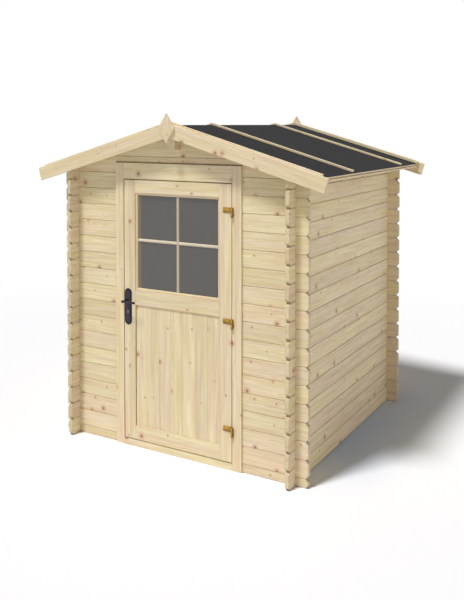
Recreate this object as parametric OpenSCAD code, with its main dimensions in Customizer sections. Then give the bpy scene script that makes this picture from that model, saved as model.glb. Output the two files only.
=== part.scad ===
// Garden shed in log cabin style: notched log walls, a felted gable roof and one glazed door.
// X runs along the front, Y from the front wall to the back, Z up from the ground.
// The origin is on the ground, at the middle of the front wall's outer face.

/* [Walls] */
// Clear width between the side walls
room_w = 1680; // [1400:10:2200]
// Clear depth between the front and back walls
room_d = 1680; // [1500:10:2600]
// Thickness of a log
log_t = 28; // [24:1:34]
// Height of one course of logs
log_h = 114; // [112:1:120]
// Courses of logs added over the number that the doorway needs
extra_courses = 0; // [0:1:3]
// How far the log ends stand past the wall they cross
log_end = 88; // [70:2:110]
// Chamfer on the corners of each log end
end_chamfer = 19; // [10:1:24]
// Depth of the V groove along each joint between two logs
v_groove = 4; // [2:0.5:5]

/* [Roof] */
// Pitch of the roof in degrees
roof_pitch = 16; // [14:0.5:20]
// Thickness of the roof boards
roof_board_t = 18; // [16:1:22]
// Thickness of the roofing felt
felt_t = 2; // [1.5:0.5:3]
// Width of one roll of felt between two seams
felt_w = 985; // [600:5:1000]
// Distance from the front end of the roof to the first seam
first_seam = 543; // [400:1:600]
// How far the roof runs past the side walls, measured level
eaves = 199; // [150:1:260]
// Width of a barge board
barge_w = 93; // [86:1:120]
// Thickness of the barge boards and the finials
barge_t = 18; // [14:1:22]
// How far a barge board hangs below the roof boards
barge_drop = 59; // [50:0.5:64]
// How far a barge board runs past the eaves
barge_past = 50; // [20:1:60]
// Height of the finial
finial_h = 196; // [160:2:220]
// Width of the finial
finial_w = 120; // [90:1:140]
// Width of the ridge purlin
purlin_w = 60; // [45:1:70]
// Height of the ridge purlin
purlin_h = 141; // [110:1:150]
// How far the purlin stops short of the ends of the roof
purlin_short = 25; // [0:1:60]

/* [Door] */
// Width of the door leaf
leaf_w = 850; // [760:2:900]
// Height of the door leaf
leaf_h = 1785; // [1760:1:1790]
// Thickness of the door leaf
leaf_t = 44; // [40:1:48]
// Width of the two stiles
stile_w = 90; // [84:1:100]
// Height of the top rail
top_rail_h = 88; // [70:1:100]
// Height of the lock rail under the glass
lock_rail_h = 100; // [90:1:120]
// Height of the bottom rail
bottom_rail_h = 95; // [85:1:120]
// Height of the opening for the panel of boards
panel_open_h = 835; // [780:1:850]
// Height of the threshold
threshold_h = 44; // [40:1:50]
// Width of the frame's face beside the door
jamb_face = 67; // [60:1:75]
// Height of the frame's face over the door
head_face = 109; // [105:1:112]

/* [Fittings] */
// Height of the lever's spindle above the ground
lever_z = 1006; // [980:1:1030]
// Distance from the edge of the leaf to the spindle
lever_inset = 31; // [29:1:36]
// Width of the outer handle plate
plate_w = 58; // [52:1:60]
// Width of the inner handle plate, which passes the stop of the frame
inner_plate_w = 34; // [30:1:36]
// Height of the handle plates
plate_h = 250; // [220:1:254]
// Length of the lever from its spindle
lever_len = 97; // [80:1:120]
// Diameter of the hinge barrels
barrel_d = 16; // [14:1:18]
// Height of one half of a hinge barrel
barrel_h = 31; // [26:1:36]

/* [Hidden] */
$fn = 48;

// Colours
pine = [0.88, 0.80, 0.65];
pine_dark = [0.80, 0.71, 0.55];
felt_grey = [0.27, 0.265, 0.27];
brass_yellow = [0.71, 0.55, 0.24];
iron_black = [0.17, 0.17, 0.18];
steel_grey = [0.62, 0.62, 0.63];
pane_grey = [0.42, 0.41, 0.40, 0.6];

// Clearance between two pieces that bear on each other
seat = 0.15;
// Clearance of a piece that has to slide into its place
slide = 0.3;

// Walls
half_w = room_w / 2 + log_t;
wall_d = room_d + 2 * log_t;
half_log = log_h / 2;
quarter = log_h / 4;
tongue_w = 8;
tongue_h = 8;
tongue_side = 0.5;
tongue_room = 2;
cut_past = 1;

// Door frame, seen from above
frame_proud = 12;
frame_back = 58;
side_gap = 6;
top_gap = 6;
foot_gap = 6;
jamb_x = leaf_w / 2 + side_gap;
liner_t = 25;
log_gap = 3;
settling_gap = 15;
head_slot_h = 8;
head_slot_d = 14;
wall_cut_x = jamb_x + liner_t + log_gap;
stop_w = 14;
stop_x = jamb_x - stop_w - seat;
stop_y = 39.5;
flange_t = 12;

// Heights that follow from the door. The gable starts at the course nearest to the doorway's top.
leaf_z0 = threshold_h + foot_gap;
leaf_z1 = leaf_z0 + leaf_h;
head_z = leaf_z1 + top_gap;
frame_top = head_z + head_face;
doorway_z = head_z + liner_t + settling_gap;
rows_below = round((doorway_z - half_log) / log_h);
gable_z = half_log + rows_below * log_h;
courses = ceil(doorway_z / log_h) + extra_courses;
eaves_wall_z = courses * log_h;

// Roof: a point is given by u, its distance down the slope, and w, its height above the
// underside of the roof boards.
under_apex = eaves_wall_z + half_w * tan(roof_pitch);
roof_y0 = -log_end;
roof_y1 = wall_d + log_end;
roof_l = roof_y1 - roof_y0;
felt_w0 = roof_board_t + seat;
felt_w1 = felt_w0 + felt_t;
u_eaves = (half_w + eaves) / cos(roof_pitch);
lath_t = 12;
lath_h = 10;
u_boards = u_eaves - lath_t;
verge_w = 24;
verge_h = 22;
seam_batten_w = 24;
seam_batten_h = 14;
batten_stop = 14;
barge_w0 = -barge_drop;
barge_w1 = barge_w0 + barge_w;
u_barge = u_eaves + barge_past;
finial_drop = 2;
finial_z = under_apex - finial_drop;
last_sheet = 150;
seams = [for (y = [roof_y0 + first_seam : felt_w : roof_y1 - last_sheet]) y];

// Door leaf
leaf_y0 = -10;
leaf_y1 = leaf_y0 + leaf_t;
open_half = leaf_w / 2 - stile_w;
panel_z0 = leaf_z0 + bottom_rail_h;
panel_z1 = panel_z0 + panel_open_h;
glass_z0 = panel_z1 + lock_rail_h;
glass_z1 = leaf_z1 - top_rail_h;
panel_y0 = -2;
panel_t = 18;
panel_bite = 10;
tenon_l = 40;
tenon_t = 14;
tenon_shoulder = 12;
tenon_y = (leaf_y0 + leaf_y1) / 2;
board_w = 96;
glass_y0 = 10;
glass_t = 4;
glass_gap = 2;
bead_w = 16;
bead_d = 14;
bar_w = 18;
bar_d = 6;

// Hinges
barrel_gap = 1;
axis_inset = 3;
axis_x = jamb_x + axis_inset;
axis_y = -frame_proud - barrel_d / 2 - barrel_gap;
pin_d = 6;
pin_short = 4;
arm_w = 33;
arm_l = 62;
arm_t = 4;
crank_l = 8;
shank_d = 8;
shank_off = 5;
shank_x = axis_x + shank_off;
low_hinge = 232;
high_hinge = 149;
hinge_mid = 925;
hinge_tops = [leaf_z0 + low_hinge, leaf_z0 + hinge_mid, leaf_z1 - high_hinge];

// Handle and lock
lever_x = -leaf_w / 2 + lever_inset;
plate_t = 4;
plate_below = 44;
lock_below = 74;
plate_z = lever_z - plate_below;
lock_z = lever_z - lock_below;
spindle_d = 10;
spindle_bore = 12;
rose_d = 22;
rose_t = 6;
neck_d = 17;
neck_l = 58;
grip_h = 18;
grip_d = 12;
lock_d = 17;
lock_web = 10;
lock_drop = 16;
lock_proud = 2;

function slope_pt(u, w) = [
    u * cos(roof_pitch) + w * sin(roof_pitch),
    under_apex - u * sin(roof_pitch) + w * cos(roof_pitch)
];
function ridge_pt(w, x = seat) = [x, under_apex + w / cos(roof_pitch) - x * tan(roof_pitch)];

// A box given by two opposite corners
module box(p, q) {
    translate(p) cube(q - p);
}

// A flat outline in X and Z, made solid from y0 to y1
module slab_y(y0, y1) {
    translate([0, y1, 0]) rotate([90, 0, 0]) linear_extrude(y1 - y0) children();
}

// Mirrored copy for the left side, the shape itself for the right side
module side(s) {
    if (s > 0) children();
    else mirror([1, 0, 0]) children();
}

// ---- Logs ----

// Section of a log: V edges on all four corners, a tongue on top and its groove below
module log_section(h) {
    flat = log_t / 2 - v_groove;
    difference() {
        union() {
            polygon([
                [-flat, 0], [flat, 0], [log_t / 2, v_groove], [log_t / 2, h - v_groove],
                [flat, h], [-flat, h], [-log_t / 2, h - v_groove], [-log_t / 2, v_groove]
            ]);
            translate([-tongue_w / 2, h - cut_past]) square([tongue_w, tongue_h + cut_past]);
        }
        translate([-tongue_w / 2 - tongue_side, -cut_past])
            square([tongue_w + 2 * tongue_side, tongue_h + tongue_room + cut_past]);
    }
}

// A log along X from x0 to x1 with its underside at z = 0. A free end has chamfered corners,
// and a quarter of the height is cut away above and below where a wall crosses it.
module log_x(x0, x1, h, free0, free1, crossings, first = false) {
    tall = h + tongue_h + cut_past;
    ends = concat(free0 ? [x0] : [], free1 ? [x1] : []);
    difference() {
        translate([x0, 0, 0]) rotate([90, 0, 90]) linear_extrude(x1 - x0) log_section(h);
        for (x = ends) {
            for (z = [0, h])
                end_corner(x, z);
            box([x - end_chamfer, -log_t, h], [x + end_chamfer, log_t, tall]);
        }
        for (x = crossings) {
            notch(x, h - quarter - seat, tall);
            if (!first)
                notch(x, -cut_past, quarter + seat);
        }
    }
}

// What a 45 degree chamfer takes off the corner of a log end
module end_corner(x, z) {
    side_l = end_chamfer * sqrt(2);
    translate([x, 0, z]) rotate([0, 45, 0]) cube([side_l, log_t + 2 * cut_past, side_l], center = true);
}

// What is cut out of a log for the one that crosses it at x
module notch(x, z0, z1) {
    box([x - log_t / 2 - slide, -log_t, z0], [x + log_t / 2 + slide, log_t, z1]);
}

// The space under the roof boards, less the seat
module under_roof(y0, y1, w = -seat) {
    far = half_w + eaves;
    z_far = under_apex + w / cos(roof_pitch) - far * tan(roof_pitch);
    slab_y(y0, y1)
        polygon([[-far, 0], [far, 0], [far, z_far], [0, under_apex + w / cos(roof_pitch)], [-far, z_far]]);
}

// Courses of a front or back wall between x0 and x1. The lowest is half a log.
module cross_courses(y, x0, x1, free0, free1) {
    crossings = [for (x = [-half_w + log_t / 2, half_w - log_t / 2]) if (x > x0 && x < x1) x];
    translate([0, y + log_t / 2, 0]) {
        log_x(x0, x1, half_log, free0, free1, crossings, first = true);
        for (k = [0 : rows_below - 1])
            translate([0, 0, half_log + k * log_h])
                log_x(x0, x1, log_h, free0, free1, crossings);
    }
}

// Gable: the logs from the top of the doorway upwards, cut to the slope of the roof
module gable(y) {
    rows = ceil((under_apex - gable_z) / log_h);
    reach = half_w + log_end;
    y0 = y - cut_past;
    y1 = y + log_t + cut_past;
    difference() {
        intersection() {
            translate([0, y + log_t / 2, 0])
                for (k = [0 : rows - 1])
                    translate([0, 0, gable_z + seat + k * log_h])
                        log_x(-reach, reach, log_h, true, true,
                            [-half_w + log_t / 2, half_w - log_t / 2]);
            under_roof(y0, y1);
        }
        box([-purlin_w / 2 - slide, y0, under_apex - purlin_h - seat],
            [purlin_w / 2 + slide, y1, under_apex]);
    }
}

// Side wall: full logs, the top one bevelled to the slope of the roof
module side_wall(s) {
    top_h = log_h + log_t * tan(roof_pitch) + 2 * v_groove;
    crossings = [log_t / 2, wall_d - log_t / 2];
    side(s) intersection() {
        translate([half_w - log_t / 2, 0, 0]) rotate([0, 0, 90])
            for (k = [0 : courses - 1])
                translate([0, 0, k * log_h])
                    if (k < courses - 1)
                        log_x(-log_end, wall_d + log_end, log_h, true, true, crossings);
                    else
                        top_log(top_h, crossings);
        under_roof(roof_y0 - cut_past, roof_y1 + cut_past);
    }
}

// The top log of a side wall, square at its upper edge before it is bevelled
module top_log(h, crossings) {
    difference() {
        log_x(-log_end, wall_d + log_end, h, false, false, []);
        for (y = [-log_end, wall_d + log_end])
            end_corner(y, 0);
        for (y = crossings) {
            notch(y, -cut_past, quarter + seat);
            notch(y, 3 * quarter - seat, h + tongue_h + cut_past);
        }
    }
}

module front_wall_left() {
    color(pine) cross_courses(0, -half_w - log_end, -wall_cut_x, true, false);
}

module front_wall_right() {
    color(pine) cross_courses(0, wall_cut_x, half_w + log_end, false, true);
}

module front_gable() {
    frame_x = jamb_x + jamb_face;
    color(pine) difference() {
        gable(0);
        box([-wall_cut_x, -cut_past, 0], [wall_cut_x, log_t + cut_past, doorway_z]);
        // shadow gap over the frame, so that the logs can settle
        box([-frame_x, -cut_past, frame_top], [frame_x, head_slot_d, frame_top + head_slot_h]);
    }
}

module back_wall() {
    color(pine) cross_courses(wall_d - log_t, -half_w - log_end, half_w + log_end, true, true);
}

module back_gable() {
    color(pine) gable(wall_d - log_t);
}

module left_wall() {
    color(pine) side_wall(-1);
}

module right_wall() {
    color(pine) side_wall(1);
}

// ---- Roof ----

module ridge_purlin() {
    color(pine) intersection() {
        box([-purlin_w / 2, roof_y0 + purlin_short, under_apex - purlin_h],
            [purlin_w / 2, roof_y1 - purlin_short, under_apex]);
        under_roof(roof_y0, roof_y1);
    }
}

// A layer of the roof from height w0 to w1 and from the ridge down to u1
module slope_layer(s, w0, w1, u1, y0, y1) {
    side(s) slab_y(y0, y1)
        polygon([ridge_pt(w0), ridge_pt(w1), slope_pt(u1, w1), slope_pt(u1, w0)]);
}

// A strip that lies along the eaves, between u0 and u1
module slope_strip(s, w0, w1, u0, u1, y0, y1) {
    side(s) slab_y(y0, y1)
        polygon([slope_pt(u0, w0), slope_pt(u0, w1), slope_pt(u1, w1), slope_pt(u1, w0)]);
}

module roof_boards(s) {
    color(pine_dark) slope_layer(s, 0, roof_board_t, u_boards, roof_y0, roof_y1);
}

// One sheet of felt, bent over the ridge
module felt_sheet(y0, y1) {
    right = [slope_pt(u_eaves, felt_w1), slope_pt(u_eaves, felt_w0)];
    left = [for (p = [right[1], right[0]]) [-p[0], p[1]]];
    color(felt_grey) slab_y(y0, y1)
        polygon(concat([ridge_pt(felt_w1, 0)], right, [ridge_pt(felt_w0, 0)], left));
}

// Two laths under the felt's edge: one on the ends of the boards, one beneath them
module eaves_laths(s) {
    color(pine) {
        slope_strip(s, roof_board_t - lath_h, roof_board_t, u_boards + seat, u_eaves, roof_y0, roof_y1);
        slope_strip(s, -seat - lath_h, -seat, u_eaves - 2 * lath_t, u_eaves, roof_y0, roof_y1);
    }
}

// Battens on the felt: one over each seam and one along each end of the roof
module roof_battens(s) {
    w0 = felt_w1 + seat;
    color(pine) {
        for (y = seams)
            slope_layer(s, w0, w0 + seam_batten_h, u_eaves - batten_stop,
                y - seam_batten_w / 2, y + seam_batten_w / 2);
        slope_layer(s, w0, w0 + verge_h, u_eaves, roof_y0, roof_y0 + verge_w);
        slope_layer(s, w0, w0 + verge_h, u_eaves, roof_y1 - verge_w, roof_y1);
    }
}

module barge_board(s, y0, y1) {
    color(pine) slope_layer(s, barge_w0, barge_w1, u_barge, y0, y1);
}

// Diamond over the joint of two barge boards
module finial(y0, y1) {
    color(pine) slab_y(y0, y1)
        polygon([
            [0, finial_z + finial_h / 2], [finial_w / 2, finial_z],
            [0, finial_z - finial_h / 2], [-finial_w / 2, finial_z]
        ]);
}

module roof_boards_left() {
    roof_boards(-1);
}

module roof_boards_right() {
    roof_boards(1);
}

module felt_front() {
    felt_sheet(roof_y0, seams[0] - seat);
}

module felt_middle() {
    for (k = [1 : len(seams) - 1])
        felt_sheet(seams[k - 1] + seat, seams[k] - seat);
}

module felt_back() {
    felt_sheet(seams[len(seams) - 1] + seat, roof_y1);
}

module eaves_laths_left() {
    eaves_laths(-1);
}

module eaves_laths_right() {
    eaves_laths(1);
}

module roof_battens_left() {
    roof_battens(-1);
}

module roof_battens_right() {
    roof_battens(1);
}

module barge_front_left() {
    barge_board(-1, roof_y0 - seat - barge_t, roof_y0 - seat);
}

module barge_front_right() {
    barge_board(1, roof_y0 - seat - barge_t, roof_y0 - seat);
}

module barge_back_left() {
    barge_board(-1, roof_y1 + seat, roof_y1 + seat + barge_t);
}

module barge_back_right() {
    barge_board(1, roof_y1 + seat, roof_y1 + seat + barge_t);
}

module finial_front() {
    y = roof_y0 - 2 * seat - barge_t;
    finial(y - barge_t, y);
}

module finial_back() {
    y = roof_y1 + 2 * seat + barge_t;
    finial(y, y + barge_t);
}

// ---- Door frame ----

// A jamb that holds the ends of the logs between two flanges
module door_jamb(s) {
    liner_top = head_z + liner_t;
    outer_x = jamb_x + jamb_face;
    color(pine) side(s) difference() {
        union() {
            box([jamb_x, -frame_proud, 0], [outer_x, -slide, frame_top]);
            box([jamb_x, log_t + slide, 0], [outer_x, log_t + slide + flange_t, frame_top]);
            box([jamb_x, -frame_proud, 0], [jamb_x + liner_t, frame_back, liner_top]);
            box([jamb_x - stop_w, stop_y, threshold_h + seat], [jamb_x + cut_past, frame_back, head_z - seat]);
        }
        if (s > 0)
            for (z = hinge_tops)
                translate([shank_x, 0, z - 1.5 * barrel_h]) rotate([90, 0, 0])
                    cylinder(h = 4 * shank_d, d = shank_d + slide, center = true);
    }
}

module door_jamb_left() {
    door_jamb(-1);
}

module door_jamb_right() {
    door_jamb(1);
}

module door_head() {
    x = jamb_x - seat;
    color(pine) {
        box([-x, -frame_proud, head_z], [x, -slide, frame_top]);
        box([-x, log_t + slide, head_z], [x, log_t + slide + flange_t, frame_top]);
        box([-x, -frame_proud, head_z], [x, frame_back, head_z + liner_t]);
        box([-stop_x, stop_y, head_z - stop_w], [stop_x, frame_back, head_z + cut_past]);
    }
}

module threshold() {
    x = jamb_x - seat;
    color(pine) {
        box([-x, -frame_proud, 0], [x, frame_back, threshold_h]);
        box([-stop_x, stop_y, threshold_h - cut_past], [stop_x, frame_back, threshold_h + stop_w]);
    }
}

// Frame half of each hinge: a lower barrel with its pin, and a shank let into the jamb
module hinge_pins() {
    color(brass_yellow)
        for (z = hinge_tops)
            translate([0, 0, z - 2 * barrel_h]) {
                translate([axis_x, axis_y, 0]) {
                    cylinder(h = barrel_h - seat, d = barrel_d);
                    cylinder(h = 2 * barrel_h - pin_short, d = pin_d);
                }
                translate([shank_x, axis_y, barrel_h / 2]) rotate([-90, 0, 0])
                    cylinder(h = -axis_y + shank_d, d = shank_d);
            }
}

// ---- Door leaf ----

// Stile with the mortises, the groove for the panel and the rebates that face the opening
module stile(s) {
    inner = open_half;
    side(s) difference() {
        box([inner, leaf_y0, leaf_z0], [leaf_w / 2, leaf_y1, leaf_z1]);
        for (r = [[leaf_z0, panel_z0], [panel_z1, glass_z0], [glass_z1, leaf_z1]])
            box([inner - cut_past, tenon_y - tenon_t / 2 - slide, r[0] + tenon_shoulder - slide],
                [inner + tenon_l + slide, tenon_y + tenon_t / 2 + slide, r[1] - tenon_shoulder + slide]);
        box([inner - cut_past, panel_y0 - seat, panel_z0 - panel_bite - slide],
            [inner + panel_bite + slide, panel_y0 + panel_t + seat, panel_z1 + panel_bite + slide]);
    }
}

module rail(z0, z1, groove_below, groove_above) {
    x = open_half - seat;
    color(pine) difference() {
        union() {
            box([-x, leaf_y0, z0], [x, leaf_y1, z1]);
            box([-x - tenon_l, tenon_y - tenon_t / 2, z0 + tenon_shoulder],
                [x + tenon_l, tenon_y + tenon_t / 2, z1 - tenon_shoulder]);
        }
        if (groove_above)
            box([-leaf_w / 2, panel_y0 - seat, z1 - panel_bite - slide],
                [leaf_w / 2, panel_y0 + panel_t + seat, z1 + cut_past]);
        if (groove_below)
            box([-leaf_w / 2, panel_y0 - seat, z0 - cut_past],
                [leaf_w / 2, panel_y0 + panel_t + seat, z0 + panel_bite + slide]);
    }
}

// The cut through the leaf for the lock: a round barrel over a narrow web
module lock_outline(gap) {
    circle(d = lock_d + 2 * gap);
    translate([-lock_web / 2 - gap, -lock_drop - gap]) square([lock_web + 2 * gap, lock_drop + gap]);
    translate([0, -lock_drop]) circle(d = lock_web + 2 * gap);
}

module lock_through(y0, y1, gap) {
    translate([lever_x, y1, lock_z]) rotate([90, 0, 0]) linear_extrude(y1 - y0) lock_outline(gap);
}

module spindle_through(y0, y1, d) {
    translate([lever_x, y0, lever_z]) rotate([-90, 0, 0]) cylinder(h = y1 - y0, d = d);
}

module lock_stile() {
    color(pine) difference() {
        stile(-1);
        lock_through(leaf_y0 - cut_past, leaf_y1 + cut_past, slide);
        spindle_through(leaf_y0 - cut_past, leaf_y1 + cut_past, spindle_bore);
    }
}

module hinge_stile() {
    color(pine) stile(1);
}

module top_rail() {
    rail(glass_z1, leaf_z1, false, false);
}

module lock_rail() {
    rail(panel_z1, glass_z0, true, false);
}

module bottom_rail() {
    rail(leaf_z0, panel_z0, false, true);
}

// Upright boards in the grooves of the stiles and rails, with a V between each two
module door_panel() {
    half = open_half + panel_bite;
    boards = floor(half / board_w);
    color(pine_dark) difference() {
        box([-half, panel_y0, panel_z0 - panel_bite], [half, panel_y0 + panel_t, panel_z1 + panel_bite]);
        for (i = [-boards : boards], y = [panel_y0, panel_y0 + panel_t])
            translate([(i + 0.5) * board_w, y, 0]) rotate([0, 0, 45])
                translate([-v_groove / 2, -v_groove / 2, 0]) cube([v_groove, v_groove, frame_top]);
    }
}

module door_glass() {
    color(pane_grey)
        box([-open_half + glass_gap, glass_y0, glass_z0 + glass_gap],
            [open_half - glass_gap, glass_y0 + glass_t, glass_z1 - glass_gap]);
}

// A square frame of beads with its inner front edge bevelled
module bead_frame(y0, y1) {
    x = open_half - seat;
    difference() {
        box([-x, y0, glass_z0 + seat], [x, y1, glass_z1 - seat]);
        box([-x + bead_w, y0 - cut_past, glass_z0 + bead_w],
            [x - bead_w, y1 + cut_past, glass_z1 - bead_w]);
    }
}

module glazing_beads() {
    color(pine) {
        bead_frame(glass_y0 - seat - bead_d, glass_y0 - seat);
        bead_frame(glass_y0 + glass_t + seat, glass_y0 + glass_t + seat + bead_d);
    }
}

// A cross of bars on each face of the pane
module glazing_bars() {
    x = open_half - bead_w - 2 * seat;
    mid = (glass_z0 + glass_z1) / 2;
    color(pine)
        for (y = [glass_y0 - seat - bar_d, glass_y0 + glass_t + seat]) {
            box([-bar_w / 2, y, glass_z0 + bead_w + seat], [bar_w / 2, y + bar_d, glass_z1 - bead_w - seat]);
            box([-x, y, mid - bar_w / 2], [x, y + bar_d, mid + bar_w / 2]);
        }
}

// Door half of each hinge: a plate on the stile that is cranked out to the upper barrel
module hinge_arms() {
    color(brass_yellow)
        for (z = hinge_tops)
            difference() {
                union() {
                    box([leaf_w / 2 - arm_l, leaf_y0 - seat - arm_t, z - arm_w], [leaf_w / 2, leaf_y0 - seat, z]);
                    box([leaf_w / 2 - crank_l, leaf_y0 - 2 * arm_t, z - barrel_h],
                        [axis_x, leaf_y0 - arm_t, z]);
                    translate([axis_x, axis_y, z - barrel_h]) cylinder(h = barrel_h, d = barrel_d);
                }
                translate([axis_x, axis_y, z - barrel_h - cut_past])
                    cylinder(h = barrel_h - pin_short / 2, d = pin_d + slide);
            }
}

// ---- Handle and lock ----

module plate(w, y0, y1) {
    r = w / 2;
    difference() {
        translate([lever_x, y1, plate_z]) rotate([90, 0, 0]) linear_extrude(y1 - y0) {
            square([w, plate_h - w], center = true);
            for (s = [-1, 1])
                translate([0, s * (plate_h / 2 - r)]) circle(r = r);
        }
        lock_through(y0 - cut_past, y1 + cut_past, slide);
        spindle_through(y0 - cut_past, y1 + cut_past, spindle_bore);
    }
}

module handle_plates() {
    color(iron_black) {
        plate(plate_w, leaf_y0 - seat - plate_t, leaf_y0 - seat);
        plate(inner_plate_w, leaf_y1 + seat, leaf_y1 + seat + plate_t);
    }
}

module lock_cylinder() {
    color(steel_grey)
        lock_through(leaf_y0 - plate_t - lock_proud, leaf_y1 + plate_t + lock_proud, 0);
}

// One lever: a neck square to the door and a grip that points to the hinges
module lever(y, out) {
    y_grip = y + out * neck_l;
    translate([lever_x, y, lever_z]) rotate([-90 * out, 0, 0]) {
        cylinder(h = rose_t, d = rose_d);
        cylinder(h = neck_l, d = neck_d);
    }
    translate([lever_x, y_grip, lever_z]) rotate([90, 0, 0]) {
        cylinder(h = grip_d, d = grip_h, center = true);
        translate([lever_len - grip_h / 2, 0, 0]) cylinder(h = grip_d, d = grip_h, center = true);
        translate([0, -grip_h / 2, -grip_d / 2]) cube([lever_len - grip_h / 2, grip_h, grip_d]);
    }
}

module lever_handles() {
    y0 = leaf_y0 - plate_t - 2 * seat;
    y1 = leaf_y1 + plate_t + 2 * seat;
    color(iron_black) {
        spindle_through(y0 - cut_past, y1 + cut_past, spindle_d);
        lever(y0, -1);
        lever(y1, 1);
    }
}

front_wall_left();
front_wall_right();
front_gable();
back_wall();
back_gable();
left_wall();
right_wall();
ridge_purlin();
roof_boards_left();
roof_boards_right();
felt_front();
felt_middle();
felt_back();
eaves_laths_left();
eaves_laths_right();
roof_battens_left();
roof_battens_right();
barge_front_left();
barge_front_right();
barge_back_left();
barge_back_right();
finial_front();
finial_back();
door_jamb_left();
door_jamb_right();
door_head();
threshold();
hinge_pins();
lock_stile();
hinge_stile();
top_rail();
lock_rail();
bottom_rail();
door_panel();
door_glass();
glazing_beads();
glazing_bars();
hinge_arms();
handle_plates();
lock_cylinder();
lever_handles();
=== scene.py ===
import math

import bmesh
import bpy
import numpy as np
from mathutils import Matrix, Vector


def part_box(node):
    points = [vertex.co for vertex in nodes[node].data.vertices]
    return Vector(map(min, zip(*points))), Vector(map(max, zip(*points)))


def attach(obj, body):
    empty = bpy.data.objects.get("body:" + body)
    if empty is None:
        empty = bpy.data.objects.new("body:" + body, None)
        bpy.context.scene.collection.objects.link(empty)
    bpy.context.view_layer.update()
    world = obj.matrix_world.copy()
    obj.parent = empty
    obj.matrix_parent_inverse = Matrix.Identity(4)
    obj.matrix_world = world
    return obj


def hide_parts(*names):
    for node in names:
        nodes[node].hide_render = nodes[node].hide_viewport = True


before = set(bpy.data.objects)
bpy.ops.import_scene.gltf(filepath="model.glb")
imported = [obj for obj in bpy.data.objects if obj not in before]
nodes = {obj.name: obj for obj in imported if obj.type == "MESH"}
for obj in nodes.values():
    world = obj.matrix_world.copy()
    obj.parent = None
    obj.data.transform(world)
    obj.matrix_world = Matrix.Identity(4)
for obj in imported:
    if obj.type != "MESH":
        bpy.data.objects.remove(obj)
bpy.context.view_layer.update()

print("frame loaded with", len(nodes), "nodes")


def colour(text):
    # sRGB hex to linear red, green, blue and alpha
    parts = np.array([int(text[i:i + 2], 16) for i in (1, 3, 5)]) / 255
    linear = np.where(parts <= 0.04045, parts / 12.92, ((parts + 0.055) / 1.055) ** 2.4)
    return (*linear.tolist(), 1.0)


camera = {
    "place": (2.8749, -4.2435, 2.2128),
    "turn": 29.826,      # degrees to the left of straight ahead
    "tilt": -1.9,        # degrees above level
    "lens": 46.57,
    "shift": (-0.0044, -0.25),
}

cameraData = bpy.data.cameras.new("shedCamera")
cameraData.lens = camera["lens"]
cameraData.shift_x, cameraData.shift_y = camera["shift"]
cameraObject = bpy.data.objects.new("shedCamera", cameraData)
cameraObject.location = camera["place"]
cameraObject.rotation_euler = (math.radians(90 + camera["tilt"]), 0, math.radians(camera["turn"]))
bpy.context.collection.objects.link(cameraObject)
bpy.context.scene.camera = cameraObject
bpy.context.scene.view_settings.view_transform = "Standard"

# The main choice of a kind of node
choices = {"Math": "operation", "VectorMath": "operation", "Mix": "data_type",
           "MapRange": "interpolation_type"}


def adder(tree):
    # The function that adds a node to one tree
    def add(kind, inputs=(), **settings):
        # kind may end in a word for its main choice, and settings are its others. inputs give its
        # sockets values, colours or links, by name or number or in order: for MapRange the value,
        # from where to where it is taken, and to what it is turned.
        kind, *choice = kind.split()
        node = tree.nodes.new("ShaderNode" + kind)
        if choice:
            settings[choices[kind]] = choice[0]
        for name, value in settings.items():
            setattr(node, name, value)
        for key, value in inputs.items() if isinstance(inputs, dict) else enumerate(inputs):
            if isinstance(key, int):
                socket = node.inputs[key]
            else:
                socket = next(s for s in node.inputs if s.name == key and s.enabled)
            if isinstance(value, bpy.types.Node):
                value = next(s for s in value.outputs if s.enabled)
            if isinstance(value, bpy.types.NodeSocket):
                tree.links.new(value, socket)
            else:
                socket.default_value = colour(value) if isinstance(value, str) else value
        return node
    tree.nodes.clear()
    return add


def weighted(add, total, *terms):
    # total + source times weight, for each term
    for source, weight in terms:
        total = add("Math MULTIPLY_ADD", (source, weight, total))
    return total


def seenRays(add):
    # The light path, and 1 for the rays that show a thing: straight, mirrored or through glass
    ray = add("LightPath")
    seen = ray.outputs["Is Camera Ray"]
    for kind in ("Is Glossy Ray", "Is Transmission Ray"):
        seen = add("Math MAXIMUM", (seen, ray.outputs[kind]))
    return ray, seen


def newMaterial(name):
    # An empty material, the function that adds to it, and the place in the object
    material = bpy.data.materials.new(name)
    material.use_nodes = True
    add = adder(material.node_tree)
    return material, add, add("TexCoord").outputs["Object"]


def finishMaterial(material, add, tone, relief, surface):
    # relief is a height, its strength, its depth in metres and, where there is one, a normal
    bump = add("Bump", dict(zip(("Height", "Strength", "Distance", "Normal"), relief)))
    shader = add("BsdfPrincipled", {"Base Color": tone, "Normal": bump, **surface})
    add("OutputMaterial", {"Surface": shader})
    return material


studio = {
    "keyAngle": 10.5,                 # degrees across, gives the soft edge of the shadow
    "keyWay": (0.192, 0.463, -1.0),
    "keyStrength": 0.93 * math.pi,
    "fills": {                        # low lamps for the shaded walls, which leave the floor alone
        "fillRight": ((-1.0, 0.35, -0.30), 0.145 * math.pi),
        "fillBack": ((-0.2, -1.0, -0.30), 0.16 * math.pi),
        "fillLeft": ((1.0, -0.1, -0.30), 0.08 * math.pi),
    },
    "fillAngle": 40,
    "skyStrength": 0.22,
    "floorShown": "#f5f5f7",          # the floor's colour to the camera
    "floorPaintedShade": "#c4d3ea",           # and painted cool shade beside the right wall, which cancels the warm light that wall throws on the floor's shadow
    # axis, and the metres along it where the painted cool shade begins and is full
    "paintedShadeEdges": ((0, 1.5, 0.9), (1, -0.1, 0.7), (1, 2.5, 1.1), (0, 0.3, 0.85)),
    "floorBounce": "#f0f0f2",         # and what it throws back on the shed
    "floorSize": 60.0,
    "floorDrop": 0.0006,              # the floor lies this far under the logs
    "floorFade": (3.2, 6.5),          # metres from the shed over which the floor turns white
}


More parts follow.
